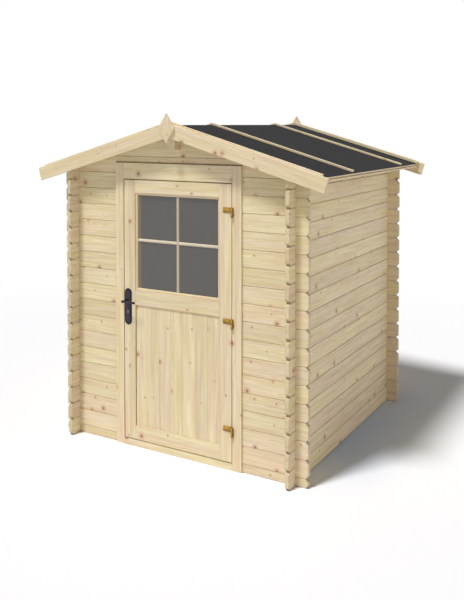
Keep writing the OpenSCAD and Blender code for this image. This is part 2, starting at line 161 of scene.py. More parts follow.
def addSun(name, way, strength, angle):
    lamp = bpy.data.lights.new(name, "SUN")
    lamp.energy = strength
    lamp.angle = math.radians(angle)
    lampObject = bpy.data.objects.new(name, lamp)
    lampObject.rotation_euler = Vector(way).to_track_quat("-Z", "Y").to_euler()
    bpy.context.collection.objects.link(lampObject)
    return lampObject


addSun("keyLamp", studio["keyWay"], studio["keyStrength"], studio["keyAngle"])
fillLamps = [addSun(fillName, way, strength, studio["fillAngle"])
             for fillName, (way, strength) in studio["fills"].items()]

world = bpy.data.worlds.new("studioWorld")
world.use_nodes = True
addSky = adder(world.node_tree)
dim, white = (addSky("Background", {"Color": "#ffffff", "Strength": strength})
              for strength in (studio["skyStrength"], 1.0))
addSky("OutputWorld", {"Surface": addSky("MixShader", (seenRays(addSky)[1], dim, white))})
bpy.context.scene.world = world


def makeFloor():
    # White floor that keeps the shadow near the shed, with painted cool shade beside the right wall, and
    # fades into the white backdrop
    material, add, place = newMaterial("paintedStudioFloor")
    ray, seen = seenRays(add)
    far = add("VectorMath LENGTH", {0: place}).outputs["Value"]
    fade = add("MapRange SMOOTHSTEP", (far, *studio["floorFade"]))
    fade = add("Math MULTIPLY", (fade, seen))
    split = add("SeparateXYZ", {0: place})
    # painted cool shade: a cooler, darker floor colour in the shadow beside the right wall
    paintedShadeShare = 1.0
    for axis, outer, inner in studio["paintedShadeEdges"]:
        edge = add("MapRange SMOOTHSTEP", (split.outputs[axis], outer, inner))
        paintedShadeShare = add("Math MULTIPLY", (paintedShadeShare, edge))
    shownTone = add("Mix RGBA", {"Factor": paintedShadeShare, 6: studio["floorShown"], 7: studio["floorPaintedShade"]})
    tone = add("Mix RGBA", {"Factor": ray.outputs["Is Camera Ray"], 6: studio["floorBounce"], 7: shownTone})
    matt = add("BsdfDiffuse", {"Color": tone})
    glow = add("Emission", {"Color": "#ffffff", "Strength": 1.0})
    add("OutputMaterial", {"Surface": add("MixShader", (fade, matt, glow))})
    half = studio["floorSize"] / 2
    corners = [(x, y, -studio["floorDrop"])
               for x, y in ((-half, -half), (half, -half), (half, half), (-half, half))]
    mesh = bpy.data.meshes.new("studioFloor")
    mesh.from_pydata(corners, [], [(0, 1, 2, 3)])
    mesh.materials.append(material)
    floor = bpy.data.objects.new("studioFloor", mesh)
    bpy.context.collection.objects.link(floor)
    unlit = bpy.data.collections.new("floorWithoutFill")
    unlit.objects.link(floor)
    unlit.collection_objects[0].light_linking.link_state = "EXCLUDE"
    for lampObject in fillLamps:
        lampObject.light_linking.receiver_collection = unlit


makeFloor()
print("camera, lamps and floor made")

pine = {
    "pale": "#e6dab3",          # straw-coloured wood, in its light and its deeper streaks
    "warm": "#dcc999",
    "paleRose": "#e6d5ba",      # and the rosier wood beside it
    "warmRose": "#dac2a0",
    "late": "#c7a87a",          # the dark half of a growth ring
    "knot": "#906647",
    "knotRim": "#cda685",
    # a pale whitish wash: painted highlight of the top light on the glazing bars
    "paintedHighlightPale": "#e4d9cc",
    # dust colour, also painted shade in the joints and along the edges of the wood
    "dustAndPaintedLight": "#7e5a26",
    "cutFrom": 40.0,            # each board comes from somewhere along this many metres
    "knotCell": 0.19,           # one knot at most in a square of this side
    "knotShare": 0.9,
    "knotRadius": (0.004, 0.012),
    "knotRagged": 0.004,        # how far its outline strays
    "rimSpan": (3.4, 1.0),      # radii over which its rim grows
    "coreSpan": (1.5, 0.45),
    "knotPush": -0.8,           # how much the grain line is pushed aside near it
    "ringGap": 0.0034,
    "pithOff": 0.07,            # the pith lies up to this far off, and wanders by as much
    "pithDeep": 0.05,
    "ringUneven": 0.012,
    "ringDark": (0.12, 0.42),   # share of the dark tone, from plain patches to marked ones
    "warmFrom": (0.34, 0.68),   # streak noise over which pale wood turns warm
    "roseLean": (0.25, 1.2),    # what a board's luck and the hue noise add to the patch noise
    "roseFrom": (1.02, 1.44),   # and where that sum turns straw into rose
    "boardTone": (0.93, 1.04),  # the darkest and the lightest board
    # what fibres and lines add, and their mean, which is taken off
    "lineTones": (0.10, 0.48, 0.29),
    # cells a metre along, across and into the wood, start, detail, roughness
    "noises": {
        "streak": ((1.8, 38.0, 38.0), (0, 0, 0), 4.0, 0.6),
        "line": ((4.5, 150.0, 150.0), (0, 0, 0), 3.0, 0.65),
        "fibre": ((14.0, 620.0, 620.0), (0, 0, 0), 2.0, 0.5),
        "patch": ((1.4, 7.0, 7.0), (0, 0, 0), 2.0, 0.5),
        "hue": ((1.2, 48.0, 48.0), (13.7, 4.1, 2.9), 2.0, 0.5),
    },
}


def grainFromCourses(add, place, wood):
    # Metres along, across and into the wood, with its courses or boards numbered for their luck
    split = add("SeparateXYZ", {0: place}).outputs
    along, across, into = (split[wood["axes"].index(k)] for k in "sta")
    course, middle = 0.0, wood["start"]
    if "pitch" in wood:
        step = add("Math SUBTRACT", (across, wood["start"]))
        step = add("Math DIVIDE", (step, wood["pitch"]))
        course = add("Math FLOOR", {0: step})
        middle = add("Math MULTIPLY_ADD", (course, wood["pitch"], wood["start"] + wood["pitch"] / 2))
    across = add("Math SUBTRACT", (across, middle))
    into = add("Math SUBTRACT", (into, wood["depth"]))
    return along, across, into, add("CombineXYZ", (course, wood["seed"], 0.37))


def storedGrain(add):
    # The measures stored on a piece's own points
    stored = add("Attribute", attribute_name="grain").outputs["Vector"]
    return add("SeparateXYZ", {0: stored}).outputs


def flatness(add, edge):
    # 1 on a flat face, less where the rounded edge turns away from it
    bare = add("NewGeometry").outputs["Normal"]
    return add("VectorMath DOT_PRODUCT", (edge, bare)).outputs["Value"]


def pineMaterial(name, wood):
    # Planed pine: growth rings that run round the knots, streaks along the grain, dark end grain
    material, add, place = newMaterial(name)
    if "axes" in wood:
        station, across, into, seed = grainFromCourses(add, place, wood)
    else:
        station, across, into = storedGrain(add)[:3]
        number = add("Attribute", attribute_name="board").outputs["Fac"]
        seed = add("CombineXYZ", (number, 5.3, 0.61))
    luck = add("TexWhiteNoise", {"Vector": seed}, noise_dimensions="3D").outputs["Color"]
    lucky = add("SeparateXYZ", {0: luck}).outputs
    along = weighted(add, station, (lucky[0], pine["cutFrom"]))

    # knots: a cell pattern in metres gives each knot its centre, size and distance
    flat = add("CombineXYZ", (along, across, 0.0))
    cell = add("TexVoronoi", {"Vector": flat, "Scale": 1 / pine["knotCell"], "Randomness": 0.9},
               voronoi_dimensions="2D")
    fate = add("SeparateXYZ", {0: cell.outputs["Color"]}).outputs
    kept = add("Math LESS_THAN", (fate[0], pine["knotShare"]))
    away = add("VectorMath SUBTRACT", (flat, cell.outputs["Position"]))
    far = add("VectorMath LENGTH", {0: away}).outputs["Value"]
    ragged = add("TexNoise", {"Vector": flat, "Scale": 160.0})
    far = weighted(add, far, (ragged, pine["knotRagged"]))
    radius = add("MapRange", (fate[1], 0, 1, *pine["knotRadius"]))
    spots = []
    for spans in (pine["rimSpan"], pine["coreSpan"]):
        outer, inner = (add("Math MULTIPLY", (radius, span)) for span in spans)
        spot = add("MapRange SMOOTHSTEP", (far, outer, inner))
        spots.append(add("Math MULTIPLY", (spot, kept)))
    rim, core = spots

    # the grain line is pushed aside near a knot
    push = add("Math MULTIPLY", (rim, pine["knotPush"]))
    bent = weighted(add, across, (add("SeparateXYZ", {0: away}).outputs[1], push))

    # growth rings: distance from a pith line that wanders along the wood
    drift = add("TexNoise", {"W": along, "Scale": 1.3, "Detail": 1.0}, noise_dimensions="1D")
    pith = add("MapRange", (lucky[1], 0, 1, -pine["pithOff"], pine["pithOff"]))
    pith = weighted(add, pith, (drift, pine["pithOff"]))
    ringX = add("Math SUBTRACT", (bent, pith))
    ringY = weighted(add, into, (drift, pine["pithDeep"]))
    ringPlace = add("CombineXYZ", (ringX, ringY, 0.0))
    reach = add("VectorMath LENGTH", {0: ringPlace}).outputs["Value"]
    grain = add("CombineXYZ", (along, bent, into))
    uneven = add("TexNoise", {"Vector": grain, "Scale": 7.0})
    reach = weighted(add, reach, (uneven, pine["ringUneven"]))
    turns = add("Math MULTIPLY", (reach, 2 * math.pi / pine["ringGap"]))
    ring = add("MapRange SMOOTHSTEP", (add("Math SINE", {0: turns}), -0.2, 1.0))

    # streaks and fibres in straw and rose, then rings and knots over them
    noise = {}
    for label, (scale, start, detail, rough) in pine["noises"].items():
        spot = add("Mapping", {"Vector": grain, "Scale": scale, "Location": start})
        noise[label] = add("TexNoise", {"Vector": spot, "Scale": 1.0, "Detail": detail, "Roughness": rough})
    tint = add("MapRange SMOOTHSTEP", (noise["streak"], *pine["warmFrom"]))
    straw, rose = (add("Mix RGBA", {"Factor": tint, 6: pine[pale], 7: pine[deep]})
                   for pale, deep in (("pale", "warm"), ("paleRose", "warmRose")))
    lean = weighted(add, noise["patch"], *zip((lucky[0], noise["hue"]), pine["roseLean"]))
    lean = add("MapRange SMOOTHSTEP", (lean, *pine["roseFrom"]))
    tone = add("Mix RGBA", {"Factor": lean, 6: straw, 7: rose})
    ringShare = add("MapRange", (noise["patch"], 0.3, 0.7, *pine["ringDark"]))
    for over, mask, share in (("paintedHighlightPale", wood.get("paintedHighlightShare", 0.0), 1.0), ("late", ring, ringShare),
                              ("knotRim", rim, 0.74), ("knot", core, 0.9)):
        share = add("Math MULTIPLY", (mask, share))
        tone = add("Mix RGBA", {"Factor": share, 6: tone, 7: pine[over]})

    # each log or board a little lighter or darker than the next
    fibreTone, lineTone, mean = pine["lineTones"]
    shade = add("MapRange", (lucky[2], 0, 1, *pine["boardTone"]))
    shade = weighted(add, shade, (noise["fibre"], fibreTone), (noise["line"], lineTone))
    shade = add("Math SUBTRACT", (shade, mean))
    # the wood's shade factor: painted light on the gable, painted shade on the back and left walls and the
    # upright bar
    shade = add("Math MULTIPLY", (shade, wood.get("shade", 1.0)))

    # end grain drinks in more light
    if "axes" in wood:
        facing = add("SeparateXYZ", {0: add("TexCoord").outputs["Normal"]}).outputs
        ends = add("Math ABSOLUTE", {0: facing[wood["axes"].index("s")]})
    else:
        ends = add("Attribute", attribute_name="endGrain").outputs["Fac"]
    ends = add("MapRange", (ends, 0.4, 0.72))
    sideGrainPaintedShade, under = 1.0, wood.get("endGrainToneAndPaintedLight", 0.80)
    if "endGrainAndPaintedShade" in wood:
        # painted shade on the slanting cuts on the ends of the logs where they face up or down, and on the
        # slanted faces of the grooves between logs
        up, level, down = wood["endGrainAndPaintedShade"]
        low, high = wood["ends"]
        fromLow = add("Math SUBTRACT", (station, low))
        fromHigh = add("Math SUBTRACT", (high, station))
        gone = add("Math MINIMUM", (fromLow, fromHigh))
        deep = add("MapRange SMOOTHSTEP", (gone, 0.004, 0.017, 0.0, down - level))
        rise = add("MapRange", (facing[2], 0.3, 0.6, level, up))
        steep = add("Math ABSOLUTE", {0: facing[2]})
        sideGrainPaintedShade = add("MapRange", (steep, 0.3, 0.6, 1.0, wood["groove"]))
        sink = add("MapRange", (facing[2], -0.3, -0.6))
        under = weighted(add, rise, (sink, deep))
    ends = add("Mix", {"Factor": ends, 2: sideGrainPaintedShade, 3: under})
    shade = add("Math MULTIPLY", (shade, ends))
    tone = add("VectorMath SCALE", {0: tone, 3: shade})

    gloss = add("MapRange", (core, 0, 1, 0.66, 0.45))
    height = weighted(add, noise["fibre"], (ring, 0.35))
    edge = add("Bevel", {"Radius": wood.get("ease", 0.0015)}, samples=4)
    if "grime" in wood:
        # dust and painted shade darken the joints between logs and their sawn edges
        grime = add("MapRange", (flatness(add, edge), 0.90, 0.995, wood["grime"], 0.0))
        tone = add("Mix RGBA", {"Factor": grime, 6: tone, 7: pine["dustAndPaintedLight"]})
    return finishMaterial(material, add, tone, (height, 0.25, 0.0008, edge), {"Roughness": gloss, "IOR": 1.5})


def dress(material, *names):
    # Gives CAD nodes a material through their own slots
    for name in names:
        for materialSlot in nodes[name].material_slots:
            materialSlot.material = material


# The logs: axes names x, y and z by s along, t up and a through the wall
courseH = 0.114
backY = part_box("back_wall")[0].y
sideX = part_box("right_wall")[0].x
# sawn ends: the level tone is the end grain's own, the up and down tones painted shade in the notches;
# groove: painted shade
crossWall = {"axes": "sat", "start": -courseH / 2, "pitch": courseH, "depth": 0.0, "ease": 0.0035,
             "endGrainAndPaintedShade": (0.54, 0.84, 0.45), "grime": 0.34, "groove": 0.94}
sideWall = {**crossWall, "axes": "ast", "start": 0.0, "endGrainAndPaintedShade": (0.74, 0.90, 0.45), "grime": 0.48}
logWalls = {
    "front": dict(crossWall, nodes=("front_wall_left", "front_wall_right"), seed=3.1),
    # the gable's lighter copy of the front logs: painted light on logs in the roof's shade
    "gable": dict(crossWall, nodes=("front_gable",), seed=3.1, shade=1.09),
    # the back wall a little darker: painted shade
    "back": dict(crossWall, nodes=("back_wall", "back_gable"), depth=backY, seed=7.4, shade=0.95),
    # the left wall a little darker: painted shade
    "left": dict(sideWall, nodes=("left_wall",), depth=-sideX, seed=11.8, groove=0.90, shade=0.92),
    "right": dict(sideWall, nodes=("right_wall",), depth=sideX, seed=15.2, groove=0.82),
}
for wallName, wall in logWalls.items():
    side = wall["axes"].index("s")
    spans = [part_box(name) for name in wall["nodes"]]
    wall["ends"] = (min(low[side] for low, high in spans), max(high[side] for low, high in spans))
    dress(pineMaterial("planedPineLogs_" + wallName, wall), *wall["nodes"])

joinery = {
    "upright": {"nodes": ("door_jamb_left", "door_jamb_right", "lock_stile", "hinge_stile"),
                "axes": "tas", "start": 0.0, "pitch": 0.13, "seed": 21.0},
    "level": {"nodes": ("door_head", "threshold", "top_rail", "lock_rail", "bottom_rail"),
              "axes": "sat", "start": 0.0, "pitch": 0.2, "seed": 24.5},
    # the purlin's end face lighter than end grain: painted light where the finial shades it
    "purlin": {"nodes": ("ridge_purlin",), "axes": "ast", "start": 2.1, "seed": 29.0, "endGrainToneAndPaintedLight": 1.12},
}
for setName, group in joinery.items():
    group.update(depth=0.0, ease=0.0025, grime=0.38)
    dress(pineMaterial("planedPine_" + setName, group), *group["nodes"])
boardPine = pineMaterial("planedPine_boards", {})
# the bars' pale wash is painted highlight of the top light
barPinePaintedHighlight = pineMaterial("planedPine_bars_paintedHighlight", {"paintedHighlightShare": 0.55, "shade": 0.90})
# the upright bar's darker copy of the bar pine: painted shade
uprightBarPaintedShade = pineMaterial("planedPine_uprightBar_paintedShade", {"paintedHighlightShare": 0.35, "shade": 0.68})
print("pine on", sum(len(w["nodes"]) for w in [*logWalls.values(), *joinery.values()]), "nodes")


def feltMaterial():
    # Mineral felt: dark bitumen with fine crushed slate, matt and slightly mottled
    material, add, place = newMaterial("mineralRoofingFelt")
    grit = add("TexVoronoi", {"Vector": place, "Scale": 520.0})
    cloud = add("TexNoise", {"Vector": place, "Scale": 3.0, "Detail": 4.0})
    mottle = add("TexNoise", {"Vector": place, "Scale": 60.0, "Detail": 3.0})
    share = weighted(add, 0.0, (grit.outputs["Color"], 0.5), (cloud, 0.35), (mottle, 0.15))
    tone = add("Mix RGBA", {"Factor": share, 6: "#19191a", 7: "#3a3a3b"})
    return finishMaterial(material, add, tone, (grit.outputs["Distance"], 0.8, 0.0012),
                          {"Roughness": 1.0, "Specular IOR Level": 0.1})


pane = {
    "beadWide": 0.016,                # the bead that covers the edge of the glass
    "beadPaintedReflection": (0.0, 0.028),         # metres from the bead over which its painted reflection thins out
    "barPaintedReflection": (0.008, 0.026),        # and from the middle of the pane, where the bar stands
}


def paneMaterial():
    # Float glass with a grey body painted for the dim room seen through it, sharp reflection, faint ripples,
    # and a painted reflection of the bead and the bar, a pale brown band beside them on the left of each pane
    material, add, place = newMaterial("floatGlass")
    level = add("SeparateXYZ", {0: place}).outputs[0]
    ripple = add("TexNoise", {"Vector": place, "Scale": 5.0, "Detail": 1.0})
    # painted shade: the grey body stands for the dim room behind the glass
    tone = add("Mix RGBA", {"Factor": ripple, 6: "#4a4641", 7: "#4f4a45"})
    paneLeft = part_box("glazing_beads")[0].x + pane["beadWide"]
    # painted reflection of the bead and the bar: a pale brown band beside them on the left of each pane
    bead = add("MapRange SMOOTHSTEP", (level, *(paneLeft + v for v in pane["beadPaintedReflection"]), 0.6, 0.0))
    bar = add("MapRange SMOOTHSTEP", (level, *pane["barPaintedReflection"], 0.4, 0.0))
    right = add("Math GREATER_THAN", (level, 0.0))
    bar = add("Math MULTIPLY", (bar, right))
    dustAndPaintedLight = add("Math MAXIMUM", (bead, bar))
    tone = add("Mix RGBA", {"Factor": dustAndPaintedLight, 6: tone, 7: "#a08c5e"})
    return finishMaterial(material, add, tone, (ripple, 0.04, 0.002),
                          {"Roughness": 0.05, "IOR": 1.5, "Specular IOR Level": 1.0,
                           "Transmission Weight": 0.1})


def zincMaterial():
    # Yellow-passivated zinc: gold metal that drifts to olive, with painted shade that makes it browner low
    # down, on the side away from the key lamp and at the rims
    material, add, place = newMaterial("yellowPassivatedZinc")
    cloud = add("TexNoise", {"Vector": place, "Scale": 45.0, "Detail": 3.0})
    tone = add("ValToRGB", {"Fac": cloud})
    for k, (at, shade) in enumerate(((0.3, "#a18236"), (0.55, "#c79c52"), (0.75, "#b18c44"))):
        stop = tone.color_ramp.elements.new(at) if k > 1 else tone.color_ramp.elements[k]
        stop.position, stop.color = at, colour(shade)
    # painted shade: darker low down, on the side that faces away from the key lamp, and at the rims
    low = add("MapRange SMOOTHSTEP", (storedGrain(add)[2], 0.004, -0.012, 0.0, 0.55))
    facing = add("SeparateXYZ", {0: add("TexCoord").outputs["Normal"]}).outputs
    side = add("MapRange SMOOTHSTEP", (facing[0], 0.1, 0.9, 0.0, 0.7))
    flat = flatness(add, add("Bevel", {"Radius": 0.004}, samples=4))
    rim = add("MapRange", (flat, 0.995, 0.85, 0.0, 0.5))
    dark = add("Math MAXIMUM", (low, side))
    dark = add("Math MAXIMUM", (dark, rim))
    tone = add("Mix RGBA", {"Factor": dark, 6: tone, 7: "#58430c"})
    gloss = add("MapRange", (cloud, 0, 1, 0.32, 0.5))
    scratch = add("TexNoise", {"Vector": place, "Scale": 700.0})
    return finishMaterial(material, add, tone, (scratch, 0.1, 0.0003), {"Metallic": 1.0, "Roughness": gloss})


def ironMaterial():
    # Powder-coated iron: near black, satin, with a fine orange-peel surface, and painted shade that makes it
    # darkest at rims and tips
    material, add, place = newMaterial("powderCoatedIron")
    peel = add("TexNoise", {"Vector": place, "Scale": 900.0})
    cloud = add("TexNoise", {"Vector": place, "Scale": 30.0, "Detail": 3.0})
    tone = add("Mix RGBA", {"Factor": cloud, 6: "#34323b", 7: "#403e4a"})
    # painted shade: darker towards the rims and tips
    ironPaintedRimShade = add("MapRange SMOOTHSTEP", (storedGrain(add)[0], 0.004, 0.014, 0.03, 1.0))
    tone = add("VectorMath SCALE", {0: tone, 3: ironPaintedRimShade})
    gloss = add("MapRange", (cloud, 0, 1, 0.5, 0.65))
    return finishMaterial(material, add, tone, (peel, 0.2, 0.0003),
                          {"Roughness": gloss, "IOR": 1.5, "Specular IOR Level": 0.2})


def steelMaterial():
    # Brushed nickel-plated brass of the lock, with fine turned lines
    material, add, place = newMaterial("brushedNickelPlate")
    lines = add("Mapping", {"Vector": place, "Scale": (1500.0, 40.0, 40.0)})
    brush = add("TexNoise", {"Vector": lines, "Scale": 1.0})
    tone = add("Mix RGBA", {"Factor": brush, 6: "#8d8b87", 7: "#b4b1ab"})
    return finishMaterial(material, add, tone, (brush, 0.1, 0.0002), {"Metallic": 1.0, "Roughness": 0.3})


def nailMaterial():
    # Galvanised nail heads: dull grey zinc with a faint spangle and a dimple pattern
    material, add, place = newMaterial("galvanisedNails")
    spangle = add("TexVoronoi", {"Vector": place, "Scale": 900.0})
    tone = add("Mix RGBA", {"Factor": spangle.outputs["Color"], 6: "#8f9294", 7: "#b3b5b6"})
    return finishMaterial(material, add, tone, (spangle.outputs["Distance"], 0.3, 0.0002),
                          {"Metallic": 1.0, "Roughness": 0.5})


felt = feltMaterial()
galvanised = nailMaterial()
zinc = zincMaterial()
iron = ironMaterial()
nickel = steelMaterial()
dress(felt, "felt_front", "felt_middle", "felt_back")
dress(paneMaterial(), "door_glass")
print("felt, glass and metal done")


# Shapes: every piece below is made of closed tubes, a closed outline carried through a row of rings


def xyz(x, y, z):
    # Points from their three measures
    return np.stack(np.broadcast_arrays(x, y, z), -1)


def plainTube(rings, local):
    # A tube with its grain coordinates and no end grain
    return rings, local, np.zeros(rings.shape[:3])


def sawnOutline(wide, thick, ease):
    # Rectangle with round corners: corner centre + ease (cos a, sin a) for a quarter turn, and one
    # point more beside each end of the arc, which keeps the flat sides flat
    wide, thick, ease = (v[..., None, None] for v in (wide, thick, ease))
    quarter = np.arange(4)[:, None]
    a = quarter * math.pi / 2 + np.linspace(0, math.pi / 2, 4)[[0, 0, 1, 2, 3, 3]]
    arc = np.stack([np.cos(a), np.sin(a)], -1)
    travel = np.stack([-np.sin(a), np.cos(a)], -1)
    signs = np.array([(1, 1), (-1, 1), (-1, -1), (1, -1)])
    middle = np.stack([signs[:, :1] * (wide / 2 - ease), signs[:, 1:] * (thick / 2 - ease)], -1)
    padWide, padThick = (np.minimum(ease, 0.45 * (v / 2 - ease)) for v in (wide, thick))
    pad = np.where((quarter % 2 == 1) == (np.arange(6) > 2), padThick, padWide) * [-1, 0, 0, 0, 0, 1]
    outline = middle + ease[..., None] * arc + pad[..., None] * travel
    return outline.reshape(*outline.shape[:-3], -1, 2)


def roundedEnd(ease, flat):
    # How far each ring near an end draws in, e (1 - sin a), and lies from the end, e (1 - cos a), with a
    # ring more on the end's face and one more on the side, which keep both flat
    a = np.radians([0, 30, 60, 90])
    inset = np.concatenate([1.4 * ease, 0.9 * ease * (1 - np.sin(a)), 0 * flat], -1)
    gone = np.concatenate([0 * ease, ease * (1 - np.cos(a)), flat], -1)
    return inset, gone


def planks(start, along, across, up, length, wide, thick, ease=0.002, endEase=None, skewStart=0.0):
    # Boards: point = start + along s + across u + up v, where (u, v) is the sawn outline. Towards
    # each end the outline draws in by e (1 - sin a) over a length e (1 - cos a). A skewed start
    # begins at s = skew v, for a plumb cut.
    start, along, across, up = (np.atleast_2d(np.asarray(v, float))[:, None, None]
                                for v in (start, along, across, up))
    endEase = ease if endEase is None else endEase
    count = max(len(start), *(np.size(v) for v in (length, wide, thick, ease)))
    length, wide, thick, ease, endEase = (np.broadcast_to(np.asarray(v, float).reshape(-1, 1), (count, 1))
                                          for v in (length, wide, thick, ease, endEase))
    inset, gone = roundedEnd(endEase, np.minimum(2 * endEase, 0.45 * length))
    both = np.concatenate([inset, inset[:, ::-1]], 1)
    outline = sawnOutline(wide - 2 * both, thick - 2 * both, np.maximum(ease - both, 0.1 * ease))
    u, v = outline[..., 0], outline[..., 1]
    near = skewStart * v[:, :6] + gone[..., None]
    far = (length - gone)[:, ::-1, None] + 0 * v[:, 6:]
    s = np.concatenate([near, far], 1)
    rings = start + along * s[..., None] + across * u[..., None] + up * v[..., None]
    ends = np.zeros_like(s)
    ends[:, [0, -1]] = 1
    # the second grain measure runs across the broad face, so a board on edge swaps the last two
    onEdge = (thick > wide)[..., None]
    return rings, xyz(s, np.where(onEdge, v, u), np.where(onEdge, u, v)), ends


def turned(centres, axis, profile, around=20):
    # Round parts: point = centre + axis h + r (side cos a + other sin a) for each r, h of the profile
    axis = np.asarray(axis, float)
    side = np.roll(np.abs(axis), 1) if np.count_nonzero(axis) == 1 else np.cross(axis, (0, 1, 0))
    side = side / np.linalg.norm(side)
    other = np.cross(axis, side)
    a = np.linspace(0, 2 * math.pi, around, endpoint=False)
    r, h = np.asarray(profile, float).T
    circle = side * np.cos(a)[:, None] + other * np.sin(a)[:, None]
    one = axis * h[:, None, None] + r[:, None, None] * circle
    rings = np.atleast_2d(np.asarray(centres, float))[:, None, None] + one
    return plainTube(rings, rings - rings.mean((1, 2), keepdims=True))


boardNumbers = 50      # set aside for each piece, so that no two boards share their luck
madePieces = []


def makePiece(name, tubes, materials, body, stands, creaseAngle=38):
    # Joins tubes into one mesh: quads between neighbouring rings and a face over each end ring.
    # A tube is (rings, grain coordinates, end grain) and the number of its material.
    made = []
    base, boardNumber = 0, boardNumbers * len(madePieces)
    for (rings, local, end), slotNumber in tubes:
        count, rows, around = rings.shape[:3]
        ids = base + np.arange(count * rows * around).reshape(count, rows, around)
        a, b = ids[:, :-1], ids[:, 1:]
        quads = np.stack([a, np.roll(a, -1, 2), np.roll(b, -1, 2), b], -1)
        caps = np.concatenate([ids[:, 0, ::-1], ids[:, -1]])
        faces = np.repeat([4, around], [quads.size // 4, len(caps)])
        made.append((rings.reshape(-1, 3), np.append(quads, caps), faces, np.full(len(faces), slotNumber),
                     local.reshape(-1, 3), np.repeat(boardNumber + np.arange(count), rows * around),
                     end.ravel()))
        base += ids.size
        boardNumber += count
    points, corners, sizes, slots, grain, board, ends = (np.concatenate(v) for v in zip(*made))
    mesh = bpy.data.meshes.new(name)
    mesh.vertices.add(len(points))
    mesh.vertices.foreach_set("co", points.ravel())
    mesh.loops.add(len(corners))
    mesh.loops.foreach_set("vertex_index", corners.astype(np.int32))
    mesh.polygons.add(len(sizes))
    for key, values in (("loop_start", np.cumsum(sizes) - sizes), ("loop_total", sizes),
                        ("material_index", slots)):
        mesh.polygons.foreach_set(key, values.astype(np.int32))
    mesh.update(calc_edges=True)
    for label, kind, key, values in (("grain", "FLOAT_VECTOR", "vector", grain.ravel()),
                                     ("board", "FLOAT", "value", board + 0.5),
                                     ("endGrain", "FLOAT", "value", ends)):
        mesh.attributes.new(label, kind, "POINT").data.foreach_set(key, values)
    shape = bmesh.new()
    shape.from_mesh(mesh)
    bmesh.ops.recalc_face_normals(shape, faces=shape.faces)
    shape.to_mesh(mesh)
    shape.free()
    mesh.shade_smooth()
    mesh.set_sharp_from_angle(angle=math.radians(creaseAngle))
    for material in materials:
        mesh.materials.append(material)
    piece = bpy.data.objects.new(name, mesh)
    bpy.context.collection.objects.link(piece)
    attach(piece, body)
    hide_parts(*stands)
    madePieces.append(piece)


seat = 0.00015       # how far a piece lies off the one that it rests on
sides = ((-1, "left"), (1, "right"))
gables = ((-1, "front"), (1, "back"))

# Roof: u runs down the slope from the ridge, w stands square to it from the boards' underside
roof = {
    "pitch": math.radians(16),
    "boardWide": 0.0956,
    "boardThick": 0.018,
    "boardJoint": 0.0005,
    "boardRagged": 0.0015,         # a board may stop this much short of its neighbour
    "battenLow": 0.02030,          # the felt's upper face
    "battenWide": 0.024,
    "battenEase": 0.0016,
    "seamThick": 0.014,
    "seamStop": 0.014,             # a seam batten ends this far before the eaves
    "vergeThick": 0.022,
    "lathWide": 0.012,
    "lathThick": 0.010,
    "lathEase": 0.0012,
    "bargeLow": -0.059,
    "bargeWide": 0.093,
    "bargeNails": (0.10, (-0.037, 0.012)),     # from either end, and up the board
    "ease": 0.0022,
    "nailGap": 0.24,
    "nailEnds": (0.06, 0.03),
    "nailRoom": 0.0006,            # a finial's face lies this far back, so that its nails stay inside the box
    "finialNail": 0.034,           # above and below its middle
    "finialEase": (0.0025, 0.004),
}
cosP, sinP, tanP = math.cos(roof["pitch"]), math.sin(roof["pitch"]), math.tan(roof["pitch"])
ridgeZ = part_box("ridge_purlin")[1].z + seat / cosP
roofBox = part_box("roof_boards_right")
roofY = (roofBox[0].y, roofBox[1].y)
boardsEnd = (roofBox[1].x - roof["boardThick"] * sinP) / cosP
feltTop = roof["battenLow"] - seat
roofEnd = (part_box("felt_middle")[1].x - feltTop * sinP) / cosP
bargeEnd = (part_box("barge_front_right")[1].x - (roof["bargeLow"] + roof["bargeWide"]) * sinP) / cosP
luck = np.random.default_rng(16)


def slopePoint(side, u, w, y):
    # x = side (u cos p + w sin p), z = ridge - u sin p + w cos p
    return xyz(side * (u * cosP + w * sinP), y, ridgeZ - u * sinP + w * cosP)


def slopeWays(side):
    # down the slope, along the ridge and square to the roof
    return (side * cosP, 0, -sinP), (0, side, 0), (side * sinP, 0, cosP)


def slopePlanks(side, y, w0, thick, end, wide, ease):
    # Boards from u = (seat - w sin p) / cos p, where they are cut plumb beside the ridge, to u = end
    y = np.atleast_1d(np.asarray(y, float))
    w = w0 + thick / 2
    first = (seat - w * sinP) / cosP
    return planks(slopePoint(side, first, w, y), *slopeWays(side), end - first, wide, thick, ease,
                  skewStart=-tanP)


def nailHeads(centres, axis, radius=0.0024, proud=0.0005):
    # Flat heads with a rounded rim
    rim = [(radius, -0.001), (radius, 0.4 * proud), (0.85 * radius, proud), (0.3 * radius, proud * 1.05)]
    return turned(centres, axis, rim, around=12)


def makeRoofBoards():
    number = round((roofY[1] - roofY[0]) / roof["boardWide"])
    pitch = (roofY[1] - roofY[0]) / number
    y = roofY[0] + pitch * (np.arange(number) + 0.5)
    for side, label in sides:
        ends = boardsEnd - luck.uniform(0, roof["boardRagged"], number)
        tube = slopePlanks(side, y, 0.0, roof["boardThick"], ends, pitch - roof["boardJoint"], roof["ease"])
        makePiece("matchedRoofBoards_" + label, [(tube, 0)], [boardPine], "shed",
                  ["roof_boards_" + label])


